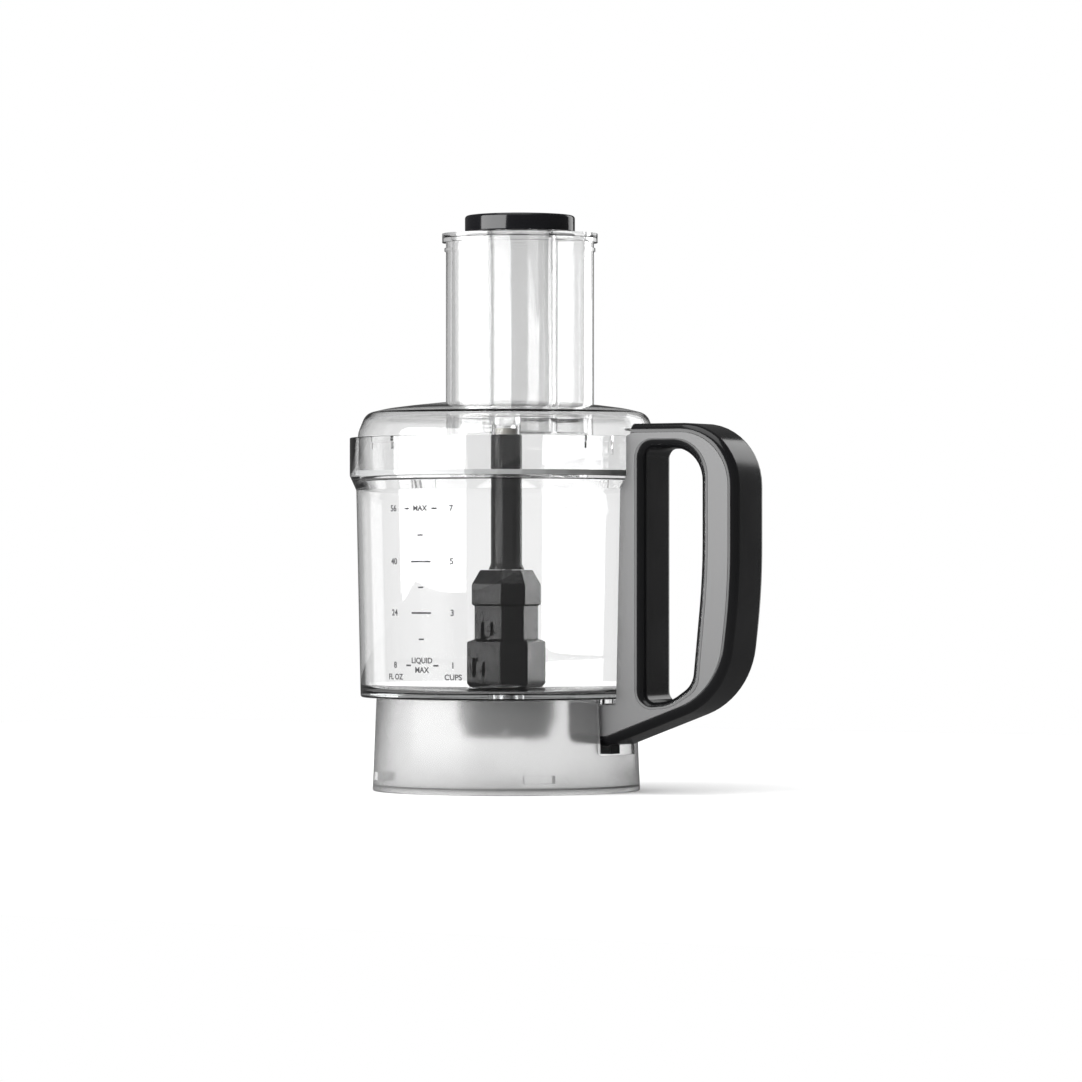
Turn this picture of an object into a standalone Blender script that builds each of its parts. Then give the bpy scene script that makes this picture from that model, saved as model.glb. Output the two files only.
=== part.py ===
"""Food-processor bowl with lid, pushers, blade and drive unit.

Metres, +Z up, handle towards +X. Everything is placed about the bowl's axis, an empty that
stands AXIS_X from the origin, so that the origin is under the middle of the whole object.
"""
import math

import bmesh
import bpy
from mathutils import Matrix, Vector

MM = 0.001
GAP = 0.0003                      # clearance between pieces that touch
RUN = 0.00015                     # radial clearance of a shaft in its bush
TURN_STEPS = 40                   # sides of a large turned piece
SLEEVE_STEPS = 32                 # sides of the sleeve inside the large pusher
SMALL_STEPS = 24                  # sides of a small turned piece

AXIS_X = -0.0303                  # bowl axis, half of (handle reach - collar radius)
BOWL_UNDERSIDE = 0.0485
BOWL_FLOOR = 0.0515
BOWL_BASE_R = 0.0757
BOWL_SHOULDER_R = 0.0780
BOWL_SHOULDER_Z = 0.1555
BOWL_WALL = 0.0022
COLLAR_R = 0.0814
COLLAR_Z = 0.1630
COLLAR_TOP = 0.1830
COLLAR_BORE = 0.0794
LID_LEDGE = 0.1614
TUBE_R = 0.0085                   # centre tube that stands in the bowl
TUBE_BORE = 0.0065
TUBE_TOP = 0.0920

SKIRT_FOOT_R = 0.0695
SKIRT_TOP_R = 0.0675
SKIRT_WALL = 0.0018
SKIRT_TOP = BOWL_UNDERSIDE - GAP
NOTCH_HALF = 0.0180
NOTCH_Z = 0.0195

LID_R = 0.0771
LID_WALL = 0.0020
LID_TOP = 0.2020
LUG_R = 0.0789
LUG_ANGLES = [-23, 67, 157, 247]  # degrees from the handle
LUG_HALF = 6                      # degrees
BOSS_R = 0.0075
BOSS_BORE = 0.0059
BOSS_FOOT = 0.1830

CHUTE = (-0.0127, 0.0358)         # centre of the oval feed tube, from the bowl axis
CHUTE_TURN = math.radians(30)     # its long side's direction
CHUTE_HALF = (0.0390, 0.0270)
CHUTE_WALL = 0.0022
CHUTE_FOOT = 0.1850
CHUTE_TOP = 0.2890
RIM_OUT = 0.0020                  # how far the rims stand out of the oval walls
RIM_THICK = 0.0022
OVAL_POINTS = 32

PUSHER_WALL = 0.0018
PUSHER_BORE = 0.0178
SMALL_PUSHER_R = 0.0172
CAP_R = 0.0290
CAP_FOOT = 0.2924
CAP_TOP = 0.3010

HANDLE_HALF = 0.0160
COVER_THICK = 0.0015
EDGE = 4.4                        # radius of the handle's outer edges, millimetres
SEAM = 4.8                        # from the outer edge in to a side cover, millimetres
LIP = 1.2                         # chamfer round the gap for the fingers, millimetres
HANDLE_REACH = 0.1420
HANDLE_TOP = 0.1892
ROD_HALF = 0.0035
ROD_IN = 0.0825
ROD_OUT = 0.0840
ROD_LIFT = 0.0020                 # travel of the interlock rod
LID_TWIST = math.radians(15)      # travel of the lid
RAMP_Z = 0.1838                   # ramp height over the rod with the lid locked
TAB_TOP = 0.1869
TAB_IN = 0.0760
TAB_OUT = 0.0890
FOLLOWER_TURN = math.radians(8)   # where the rod's head touches the ramp

MODULE = 0.00075
PRESSURE = math.radians(20)
SUN_TEETH = 12
PLANET_TEETH = 18
RING_TEETH = 48
ORBIT = MODULE * (SUN_TEETH + PLANET_TEETH) / 2
PLANET_TURNS = [0, 120, 240]
EAR_TURNS = [60, 180, 300]
EAR_ORBIT = 0.0253
GEAR_LOW = 0.0355
GEAR_HIGH = 0.0420
HOUSING_R = 0.0225
HOUSING_BORE = 0.0203
HOUSING_FOOT = 0.0256
HOUSING_TOP = 0.0472
HOUSING_SPLIT = 0.0344            # where the housing and its cover meet
EAR_R = 0.0034
SOCKET_TOP = 0.0303               # depth of the hexagonal drive socket
SPINDLE_R = 0.0030
SHAFT_R = 0.0042
CARRIER_R = 0.0145                # disc under the shaft that carries the planets' pins
TOOTH_PLAY = 0.00005              # how much thinner a gear's teeth are than half a pitch

HUB_TOP = 0.1147
HUB_CORNERS = [(-11.8, -15.9), (6.0, -15.9), (16.2, -8.8)]     # millimetres, half of the six
HUB_LEVELS = [
    (0.0522, 0.99), (0.0556, 1.135), (0.0772, 1.135), (0.0786, 0.92), (0.0960, 0.92),
    (0.0967, 1.0), (0.1073, 1.0), (HUB_TOP, 0.764),
]
HUB_WINDOWS = [(0.0030, 0.0146, 0.0830, 0.0044), (0.0061, 0.0180, 0.0640, 0.0050)]
STEM_R = 0.0081
HEX_R = 0.0041                    # corner radius of the shaft's hexagon
LOWER_BLADE = (0.0540, -60)       # height and direction
UPPER_BLADE = (0.0722, 120)
BLADE_THICK = 0.0012
BLADE_REACH = 0.0700
BLADE_ROOT = 0.0130

CLEAR = ((0.86, 0.88, 0.88), 0.08, 0.0, 0.3)
FROSTED = ((0.75, 0.75, 0.75), 0.55, 0.0, 0.7)
BLACK = ((0.012, 0.012, 0.013), 0.25, 0.0, 1.0)
GREY = ((0.30, 0.30, 0.30), 0.4, 0.0, 1.0)
DARK = ((0.03, 0.03, 0.03), 0.4, 0.0, 1.0)
NYLON = ((0.75, 0.72, 0.65), 0.5, 0.0, 1.0)
STEEL = ((0.62, 0.62, 0.63), 0.25, 1.0, 1.0)
BRONZE = ((0.45, 0.29, 0.14), 0.35, 1.0, 1.0)
RUBBER = ((0.05, 0.05, 0.05), 0.8, 0.0, 1.0)
SEAL = ((0.65, 0.66, 0.66), 0.6, 0.0, 1.0)

for old in list(bpy.data.objects):
    bpy.data.objects.remove(old, do_unlink=True)
parts = bpy.data.collections.new("food_processor")
cutters = bpy.data.collections.new("cutters")
bpy.context.scene.collection.children.link(parts)
bpy.context.scene.collection.children.link(cutters)
bowl_axis = bpy.data.objects.new("bowl_axis", None)
bowl_axis.location = (AXIS_X, 0, 0)
parts.objects.link(bowl_axis)


def place(obj, look=None, location=(0, 0, 0), turn=(0, 0, 0)):
    """Puts an object on the bowl axis, as a part with a look or as a hidden cutter without one."""
    obj.location = location
    obj.rotation_euler = turn
    obj.parent = bowl_axis
    if look is None:
        cutters.objects.link(obj)
        obj.hide_render = True
        obj.display_type = "WIRE"
        return obj
    parts.objects.link(obj)
    colour, roughness, metallic, alpha = look
    skin = bpy.data.materials.new(obj.name + "_skin")
    skin.use_nodes = True
    shader = skin.node_tree.nodes["Principled BSDF"]
    shader.inputs["Base Color"].default_value = (*colour, 1.0)
    shader.inputs["Roughness"].default_value = roughness
    shader.inputs["Metallic"].default_value = metallic
    shader.inputs["Alpha"].default_value = alpha
    obj.data.materials.clear()
    obj.data.materials.append(skin)
    return obj


def turned(name, outline, look=None, steps=TURN_STEPS, location=(0, 0, 0)):
    """A turned piece. The outline's (radius, height) points run down its outer side."""
    count = len(outline)
    on_axis = outline[0][0] == 0 and outline[-1][0] == 0
    edges = [(i, i + 1) for i in range(count - 1)]
    if not on_axis:
        edges.append((count - 1, 0))
    mesh = bpy.data.meshes.new(name)
    mesh.from_pydata([(radius, 0, height) for radius, height in outline], edges, [])
    obj = bpy.data.objects.new(name, mesh)
    screw = obj.modifiers.new("Turn", "SCREW")
    screw.steps = steps
    screw.render_steps = steps
    screw.use_merge_vertices = True
    screw.merge_threshold = 0.00001
    screw.use_smooth_shade = True
    return place(obj, look, location)


def ring(name, outer, inner, low, high, look=None, steps=SMALL_STEPS, location=(0, 0, 0)):
    """A plain turned ring."""
    outline = [(outer, high), (outer, low), (inner, low), (inner, high)]
    return turned(name, outline, look, steps, location)


def rod(name, radius, low, high, look=None, steps=SMALL_STEPS, location=(0, 0, 0), turn=(0, 0, 0)):
    """A plain round rod along its own Z."""
    mesh = bpy.data.meshes.new(name)
    shape = bmesh.new()
    middle = Matrix.Translation((0, 0, (low + high) / 2))
    bmesh.ops.create_cone(
        shape, cap_ends=True, segments=steps, radius1=radius, radius2=radius, depth=high - low, matrix=middle
    )
    shape.to_mesh(mesh)
    shape.free()
    mesh.shade_smooth()
    mesh.set_sharp_from_angle(angle=math.radians(40))
    return place(bpy.data.objects.new(name, mesh), look, location, turn)


def block(name, low, high, look=None):
    """A box between two corners."""
    mesh = bpy.data.meshes.new(name)
    shape = bmesh.new()
    size = Vector(high) - Vector(low)
    middle = (Vector(high) + Vector(low)) / 2
    bmesh.ops.create_cube(shape, size=1, matrix=Matrix.Translation(middle) @ Matrix.Diagonal((*size, 1)))
    shape.to_mesh(mesh)
    shape.free()
    return place(bpy.data.objects.new(name, mesh), look)


def mesh_from_curve(curve_object, look):
    """The curve as one welded closed mesh in the same place. The curve is removed."""
    bpy.context.view_layer.update()
    evaluated = curve_object.evaluated_get(bpy.context.evaluated_depsgraph_get())
    mesh = bpy.data.meshes.new_from_object(evaluated)
    shape = bmesh.new()
    shape.from_mesh(mesh)
    bmesh.ops.remove_doubles(shape, verts=shape.verts, dist=0.000001)
    bmesh.ops.recalc_face_normals(shape, faces=shape.faces)
    shape.to_mesh(mesh)
    shape.free()
    mesh.shade_smooth()
    mesh.set_sharp_from_angle(angle=math.radians(35))
    name = curve_object.name
    location = tuple(curve_object.location)
    turn = tuple(curve_object.rotation_euler)
    data = curve_object.data
    bpy.data.objects.remove(curve_object)
    bpy.data.curves.remove(data)
    return place(bpy.data.objects.new(name, mesh), look, location, turn)


def plate(name, outlines, low, high, look=None, location=(0, 0), turn=0.0, upright=False):
    """A flat plate: the first outline is its edge and the rest are holes. It lies between two
    heights, or, upright, its outline is in X and Z and it stands between two Y values."""
    curve = bpy.data.curves.new(name, "CURVE")
    curve.dimensions = "2D"
    curve.fill_mode = "BOTH"
    curve.extrude = (high - low) / 2
    curve.render_resolution_u = 0
    for outline in outlines:
        spline = curve.splines.new("POLY")
        spline.points.add(len(outline) - 1)
        for point, (x, y) in zip(spline.points, outline):
            point.co = (x, y, 0, 1)
        spline.use_cyclic_u = True
    obj = bpy.data.objects.new(name, curve)
    middle = (low + high) / 2
    place(obj, look)
    if upright:
        obj.location = (location[0], middle, location[1])
        obj.rotation_euler = (math.radians(90), 0, 0)
    else:
        obj.location = (location[0], location[1], middle)
        obj.rotation_euler = (0, 0, turn)
    return mesh_from_curve(obj, look)


def lofted(name, levels, look=None, upright=False):
    """A solid through outlines of the same length. A level is (height, outline), or, upright, its
    outline is in X and Z and its height is the Y of that section."""
    count = len(levels[0][1])
    points = []
    for height, outline in levels:
        for x, other in outline:
            points.append((x, height, other) if upright else (x, other, height))
    faces = [tuple(range(count)), tuple(range(len(points) - count, len(points)))]
    for k in range(len(levels) - 1):
        for i in range(count):
            j = (i + 1) % count
            low = k * count
            high = low + count
            faces.append((low + i, low + j, high + j, high + i))
    mesh = bpy.data.meshes.new(name)
    mesh.from_pydata(points, [], faces)
    shape = bmesh.new()
    shape.from_mesh(mesh)
    bmesh.ops.recalc_face_normals(shape, faces=shape.faces)
    shape.to_mesh(mesh)
    shape.free()
    mesh.shade_smooth()
    mesh.set_sharp_from_angle(angle=math.radians(35))
    return place(bpy.data.objects.new(name, mesh), look)


def combine(obj, tool, operation):
    """Cuts a tool from an object, or joins it on, and keeps the tool hidden."""
    change = obj.modifiers.new(tool.name, "BOOLEAN")
    change.operation = operation
    change.solver = "EXACT"
    change.object = tool


def cut(obj, *tools):
    for tool in tools:
        combine(obj, tool, "DIFFERENCE")


def join(obj, *tools):
    for tool in tools:
        combine(obj, tool, "UNION")


def soften(obj, width, segments=1):
    """Rounds an object's sharp edges."""
    bevel = obj.modifiers.new("Soften", "BEVEL")
    bevel.width = width
    bevel.segments = segments
    bevel.limit_method = "ANGLE"
    bevel.angle_limit = math.radians(50)
    bevel.use_clamp_overlap = True


def polar(radius, turn, centre=(0, 0)):
    return (centre[0] + radius * math.cos(turn), centre[1] + radius * math.sin(turn))


def circle(radius, points, centre=(0, 0)):
    return [polar(radius, 2 * math.pi * i / points, centre) for i in range(points)]


def sector(inner, outer, start, end, steps):
    """The outline of a ring's sector between two angles."""
    turns = [start + (end - start) * i / steps for i in range(steps + 1)]
    return [polar(outer, turn) for turn in turns] + [polar(inner, turn) for turn in reversed(turns)]


def oval(half_long, half_deep, points=OVAL_POINTS):
    """A slightly squared oval."""
    outline = []
    for i in range(points):
        turn = 2 * math.pi * i / points
        along = math.copysign(abs(math.cos(turn)) ** 0.9, math.cos(turn))
        across = math.copysign(abs(math.sin(turn)) ** 0.9, math.sin(turn))
        outline.append((half_long * along, half_deep * across))
    return outline


def rounded(corners, steps=3):
    """An outline with its corners rounded. A corner is (x, z, radius) in millimetres."""
    outline = []
    count = len(corners)
    for i, (x, z, radius) in enumerate(corners):
        here = Vector((x, z))
        if radius == 0:
            outline.append((x * MM, z * MM))
            continue
        back = (Vector(corners[i - 1][:2]) - here).normalized()
        onward = (Vector(corners[(i + 1) % count][:2]) - here).normalized()
        half = back.angle(onward) / 2
        centre = here + (back + onward).normalized() * radius / math.sin(half)
        start = here + back * radius / math.tan(half) - centre
        end = here + onward * radius / math.tan(half) - centre
        sweep = start.angle_signed(end)
        for k in range(steps + 1):
            spoke = Matrix.Rotation(-sweep * k / steps, 2) @ start
            outline.append(((centre.x + spoke.x) * MM, (centre.y + spoke.y) * MM))
    return outline


# ---------------------------------------------------------------- bowl and skirt


def work_bowl():
    floor_r = BOWL_BASE_R - BOWL_WALL
    bowl = turned("work_bowl", [
        (COLLAR_R, COLLAR_TOP), (COLLAR_R, COLLAR_Z), (BOWL_SHOULDER_R, BOWL_SHOULDER_Z),
        (BOWL_BASE_R, BOWL_UNDERSIDE + 0.0008), (BOWL_BASE_R - 0.0007, BOWL_UNDERSIDE),
        (TUBE_BORE, BOWL_UNDERSIDE), (TUBE_BORE, TUBE_TOP), (TUBE_R, TUBE_TOP), (TUBE_R, BOWL_FLOOR),
        (floor_r - 0.002, BOWL_FLOOR), (floor_r, BOWL_FLOOR + 0.002),
        (BOWL_SHOULDER_R - BOWL_WALL, BOWL_SHOULDER_Z), (0.0762, LID_LEDGE),
        (COLLAR_BORE - 0.0002, LID_LEDGE), (COLLAR_BORE, COLLAR_TOP),
    ], CLEAR)
    for i, degrees in enumerate(LUG_ANGLES):
        start = math.radians(degrees - LUG_HALF)
        end = math.radians(degrees + LUG_HALF)
        ledge = sector(0.0776, COLLAR_BORE + 0.001, start, end, 3)
        join(bowl, plate(f"bowl_ledge_{i}", [ledge], 0.1800, 0.1826))
    join(bowl, block("handle_rib", (0.0770, -0.0025, 0.1350), (0.0819, 0.0025, 0.1450)))
    for i, side in enumerate((-1, 1)):
        boss = rod(f"handle_boss_{i}", 0.0038, 0.0457, 0.0495, None, 12, (0.0600, side * 0.0098, 0))
        join(bowl, boss)
        cut(bowl, rod(f"handle_boss_hole_{i}", 0.0016, 0.0440, 0.0503, None, 12, (0.0600, side * 0.0098, 0)))
    across = (math.radians(90), 0, 0)
    cut(bowl, rod("rib_hole", 0.0016, -0.0060, 0.0060, None, 12, (0.0798, 0, 0.1400), across))
    for i, degrees in enumerate(EAR_TURNS):
        spot = (*polar(EAR_ORBIT, math.radians(degrees)), 0)
        cut(bowl, rod(f"floor_hole_{i}", 0.0016, 0.0470, 0.0505, None, 12, spot))


def base_skirt():
    skirt = turned("base_skirt", [
        (SKIRT_TOP_R, SKIRT_TOP), (SKIRT_FOOT_R, 0), (SKIRT_FOOT_R - 0.0030, 0),
        (SKIRT_FOOT_R - 0.0030, 0.0025), (SKIRT_FOOT_R - SKIRT_WALL, 0.0035),
        (SKIRT_TOP_R - SKIRT_WALL, SKIRT_TOP),
    ], FROSTED)
    for i in range(4):
        middle = math.radians(45 + 90 * i)
        lug = sector(0.0615, SKIRT_FOOT_R - 0.0010, middle - 0.12, middle + 0.12, 3)
        join(skirt, plate(f"base_lug_{i}", [lug], 0.0060, 0.0100))
    cut(skirt, block("handle_notch", (0.05, -NOTCH_HALF, NOTCH_Z), (0.09, NOTCH_HALF, 0.06)))


# ---------------------------------------------------------------- lid and pushers


def oval_prism(name, grow, low, high, look=None):
    half_long = CHUTE_HALF[0] + grow
    half_deep = CHUTE_HALF[1] + grow
    return plate(name, [oval(half_long, half_deep)], low, high, look, CHUTE, CHUTE_TURN)


def lid_tab():
    """The lid's arm into the handle, with a helical ramp under it that sets the rod's height."""
    start = FOLLOWER_TURN - LID_TWIST - math.radians(0.6)
    end = FOLLOWER_TURN + math.radians(2.2)
    steps = 8
    tab = plate("lid_tab", [sector(TAB_IN, TAB_OUT, start, end, steps)], RAMP_Z, TAB_TOP)
    for vertex in tab.data.vertices:
        if vertex.co.z < 0:
            turn = math.atan2(vertex.co.y, vertex.co.x)
            vertex.co.z += ROD_LIFT * min(1.0, max(0.0, (FOLLOWER_TURN - turn) / LID_TWIST))
    return tab


def lid():
    dome = turned("lid", [
        (0, LID_TOP), (0.034, 0.2014), (0.062, 0.1982), (0.0717, 0.1947), (0.0752, 0.1900),
        (LID_R, 0.1850), (LID_R, LID_LEDGE + GAP), (LID_R - LID_WALL, LID_LEDGE + GAP),
        (LID_R - LID_WALL, 0.1848), (0.0734, 0.1892), (0.0706, 0.1928), (0.0617, 0.1960),
        (0.034, 0.1992), (BOSS_R, 0.1996), (BOSS_R, BOSS_FOOT), (BOSS_BORE, BOSS_FOOT),
        (BOSS_BORE, 0.1910), (0, 0.1910),
    ], CLEAR)
    join(dome, oval_prism("chute_wall", 0, CHUTE_FOOT, CHUTE_TOP - 0.0005))
    join(dome, oval_prism("chute_rim", RIM_OUT, CHUTE_TOP - RIM_THICK, CHUTE_TOP))
    cut(dome, oval_prism("chute_bore", -CHUTE_WALL, CHUTE_FOOT - 0.01, CHUTE_TOP + 0.01))
    for i, degrees in enumerate(LUG_ANGLES):
        start = math.radians(degrees - LUG_HALF)
        end = math.radians(degrees + LUG_HALF)
        lug = sector(LID_R - 0.0012, LUG_R, start, end, 3)
        join(dome, plate(f"lid_lug_{i}", [lug], 0.1762, 0.1795))
    join(dome, lid_tab())
    ring("lid_seal", 0.0787, LID_R + 0.0002, 0.1635, 0.1655, SEAL, TURN_STEPS)
    ring("stem_bearing", BOSS_BORE - RUN, 0.0032, 0.1835, 0.1900, NYLON)


def pushers():
    inset = -CHUTE_WALL - 2 * GAP
    centre = (*CHUTE, 0)
    foot = CHUTE_FOOT + 0.0015
    top = CHUTE_TOP + GAP + RIM_THICK
    large = oval_prism("large_pusher", inset, foot, top - 0.0005, CLEAR)
    join(large, oval_prism("pusher_rim", RIM_OUT, CHUTE_TOP + GAP, top))
    cut(large, oval_prism("pusher_hollow", inset - PUSHER_WALL, foot + 0.002, top + 0.01))
    sleeve_r = PUSHER_BORE + PUSHER_WALL
    join(large, rod("pusher_sleeve", sleeve_r, foot + 0.0005, top - 0.0008, None, SLEEVE_STEPS, centre))
    cut(large, rod("sleeve_bore", PUSHER_BORE, foot - 0.01, top + 0.01, None, SLEEVE_STEPS, centre))
    inner = SMALL_PUSHER_R - PUSHER_WALL
    turned("small_pusher", [
        (0, foot + PUSHER_WALL), (inner, foot + PUSHER_WALL), (inner, CAP_FOOT - GAP),
        (SMALL_PUSHER_R, CAP_FOOT - GAP), (SMALL_PUSHER_R, foot), (0, foot),
    ], CLEAR, SMALL_STEPS, centre)
    turned("pusher_cap", [
        (0, CAP_TOP), (CAP_R - 0.0020, CAP_TOP), (CAP_R - 0.0006, CAP_TOP - 0.0006),
        (CAP_R, CAP_TOP - 0.0020), (CAP_R, CAP_FOOT), (0, CAP_FOOT),
    ], BLACK, TURN_STEPS, centre)


# ---------------------------------------------------------------- handle and interlock


def handle_outline(inset):
    """The handle's outer edge in millimetres, from the tail inside the skirt round to the collar."""
    grip = HANDLE_REACH / MM - inset
    top = HANDLE_TOP / MM - inset
    return rounded([
        (46.0, 26.2 + inset, 1.5), (69.0, 26.6 + inset, 10), (108.2, 41.6 + inset, 18),
        (135.8 - 0.8 * inset, 61.8 + 0.5 * inset, 24), (grip, 112.0, 100), (grip, top, 28.5 - inset),
        (82.6, top, 0.6), (82.6, 184.0, 0), (74.0, 180.0, 0), (74.0, 45.4, 0), (46.0, 45.4, 0.6),
    ])


def finger_gap(grow):
    """The edge of the gap for the fingers, in millimetres."""
    return rounded([
        (85.3 - grow, 182.2 + grow, 8), (124.6 + grow, 182.2 + grow, 18), (124.6 + grow, 100, 100),
        (121.6 + grow, 59.5 - 0.5 * grow, 8), (110.0, 49.9 - grow, 20), (91.0, 43.4 - grow, 4),
        (85.3 - grow, 43.4 - grow, 4),
    ])


def rounded_levels(outline, half, radius, steps=2):
    """Sections of the handle between its two sides, with a rounded edge of a radius in millimetres."""
    side = []
    for k in range(steps + 1):
        turn = math.pi / 2 * k / steps
        side.append((half - radius * MM * (1 - math.cos(turn)), radius * (1 - math.sin(turn))))
    levels = [(-y, outline(inset)) for y, inset in side]
    return levels + [(y, outline(inset)) for y, inset in reversed(side)]


def bowl_clearance():
    """The space the bowl needs inside the handle's pieces."""
    return turned("bowl_clearance", [
        (0, COLLAR_TOP + GAP), (COLLAR_R + GAP, COLLAR_TOP + GAP), (COLLAR_R + GAP, COLLAR_Z - 0.0002),
        (BOWL_SHOULDER_R + GAP, BOWL_SHOULDER_Z - 0.0003), (BOWL_BASE_R + GAP, BOWL_UNDERSIDE - GAP),
        (0, BOWL_UNDERSIDE - GAP),
    ])


def handle():
    body = lofted("handle_body", rounded_levels(handle_outline, HANDLE_HALF, EDGE), BLACK, True)
    levels = [(-HANDLE_HALF - MM, finger_gap(LIP + 1)), (-HANDLE_HALF + LIP * MM, finger_gap(0))]
    levels += [(-y, outline) for y, outline in reversed(levels)]
    cut(body, lofted("finger_gap", levels, None, True))
    clearance = bowl_clearance()
    slot_corners = ((0.0750, -0.0128, COLLAR_TOP + GAP), (TAB_OUT + 0.0012, 0.03, TAB_TOP + 0.0004))
    tab_slot = block("tab_slot", *slot_corners)
    cut(body, clearance, tab_slot)
    cut(body, block("rod_channel", (0.0720, -0.0040, 0.0365), (ROD_OUT + GAP, 0.0040, 0.1850)))
    cut(body, block("head_channel", (0.0780, -0.0045, 0.1745), (ROD_OUT + GAP, 0.0130, 0.1850)))
    cut(body, block("arm_channel", (0.0470, -0.0040, 0.0365), (0.0760, 0.0040, 0.0500)))
    cut(body, block("leg_hole", (0.0555, -0.0050, 0.0200), (0.0655, 0.0050, 0.0500)))
    cut(body, rod("spring_pocket", 0.0036, 0.0275, 0.0400, None, 12, (0.0513, 0, 0)))
    for i, side in enumerate((-1, 1)):
        spot = (0.0600, side * 0.0098, 0)
        cut(body, rod(f"lower_screw_hole_{i}", 0.0017, 0.0240, 0.0480, None, 12, spot))
        cut(body, rod(f"lower_screw_sink_{i}", 0.0031, 0.0240, 0.0290, None, 12, spot))
    across = (math.radians(90), 0, 0)
    rib_screw = (0.0798, 0, 0.1400)
    cut(body, rod("upper_screw_hole", 0.0015, -0.0120, 0.0160, None, 12, rib_screw, across))
    cut(body, rod("upper_screw_sink", 0.0029, 0.0112, 0.0160, None, 12, rib_screw, across))
    for name, side in (("near", -1), ("far", 1)):
        low, high = sorted((side * (HANDLE_HALF - COVER_THICK), side * HANDLE_HALF))
        edges = [handle_outline(SEAM), finger_gap(LIP + 0.6)]
        cover = plate(f"handle_cover_{name}", edges, low, high, GREY, upright=True)
        low, high = sorted((side * (HANDLE_HALF - COVER_THICK - GAP), side * (HANDLE_HALF + MM)))
        edges = [handle_outline(SEAM - GAP / MM), finger_gap(LIP + 0.6 - GAP / MM)]
        cut(body, plate(f"cover_pocket_{name}", edges, low, high, upright=True))
        cut(cover, clearance)
        if side > 0:
            cut(cover, tab_slot)


def screw(name, length, location, turn=(0, 0, 0), head=0.0026):
    """A pan-head screw with its head at the bottom and its tip up along its own Z."""
    body = turned(name, [
        (0, length), (0.0009, length), (0.00125, length - 0.001), (0.00125, 0), (head, 0),
        (head, -0.0012), (head - 0.0006, -0.0018), (0, -0.0018),
    ], STEEL, 12, location)
    body.rotation_euler = turn
    cross = block(f"{name}_cross", (-0.0003, -0.0014, -0.0030), (0.0003, 0.0014, -0.0011))
    cross.parent = body
    cut(body, cross)


def handle_screws():
    for i, side in enumerate((-1, 1)):
        screw(f"handle_screw_lower_{i + 1}", 0.0212, (0.0600, side * 0.0098, 0.0287))
    screw("handle_screw_upper", 0.0220, (0.0798, -0.0115, 0.1400), (math.radians(-90), 0, 0), 0.0024)


def interlock():
    """The rod that the lid's ramp holds down, and the spring that lifts it."""
    strip = block(
        "interlock_rod", (ROD_IN, -ROD_HALF, 0.0400), (ROD_OUT, ROD_HALF, RAMP_Z - GAP), DARK
    )
    head = block("rod_head", (ROD_IN, -ROD_HALF + 0.0004, 0.1778), (ROD_OUT - 0.0001, 0.0120, RAMP_Z - GAP))
    arm_half = ROD_HALF + 0.0001
    arm = block("rod_arm", (0.0485, -arm_half, 0.0370), (ROD_OUT - 0.0002, arm_half, 0.0412))
    leg = block("rod_leg", (0.0560, -0.0045, 0.0200), (0.0650, 0.0045, 0.0404))
    join(strip, head, arm, leg)
    turns = 4
    per_turn = 8
    low, high = 0.0282, 0.0362
    curve = bpy.data.curves.new("interlock_spring", "CURVE")
    curve.dimensions = "3D"
    curve.bevel_depth = 0.00035
    curve.bevel_resolution = 2
    curve.use_fill_caps = True
    curve.render_resolution_u = 0
    spline = curve.splines.new("POLY")
    count = turns * per_turn
    spline.points.add(count)
    for i, point in enumerate(spline.points):
        x, y = polar(0.0026, 2 * math.pi * i / per_turn)
        point.co = (x, y, low + (high - low) * i / count, 1)
    obj = bpy.data.objects.new("interlock_spring", curve)
    place(obj, STEEL, (0.0513, 0, 0))
    mesh_from_curve(obj, STEEL)


# ---------------------------------------------------------------- drive unit


def involute(angle):
    return math.tan(angle) - angle


def tooth_outline(teeth, tip, root, thinning, phase):
    """An involute gear's outline. The phase is the direction of a tooth's middle."""
    pitch = MODULE * teeth / 2
    base = pitch * math.cos(PRESSURE)
    start = max(base, root)
    half_at_pitch = math.pi / (2 * teeth) - thinning / pitch
    flank = []
    for radius in (start, tip):
        half = half_at_pitch + involute(PRESSURE) - involute(math.acos(min(1.0, base / radius)))
        flank.append((radius, half))
    if root < start - 0.00005:
        flank.insert(0, (root, flank[0][1]))
    outline = []
    for i in range(teeth):
        middle = phase + 2 * math.pi * i / teeth
        outline += [polar(radius, middle - half) for radius, half in flank]
        outline += [polar(radius, middle + half) for radius, half in reversed(flank)]
    return outline


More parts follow.
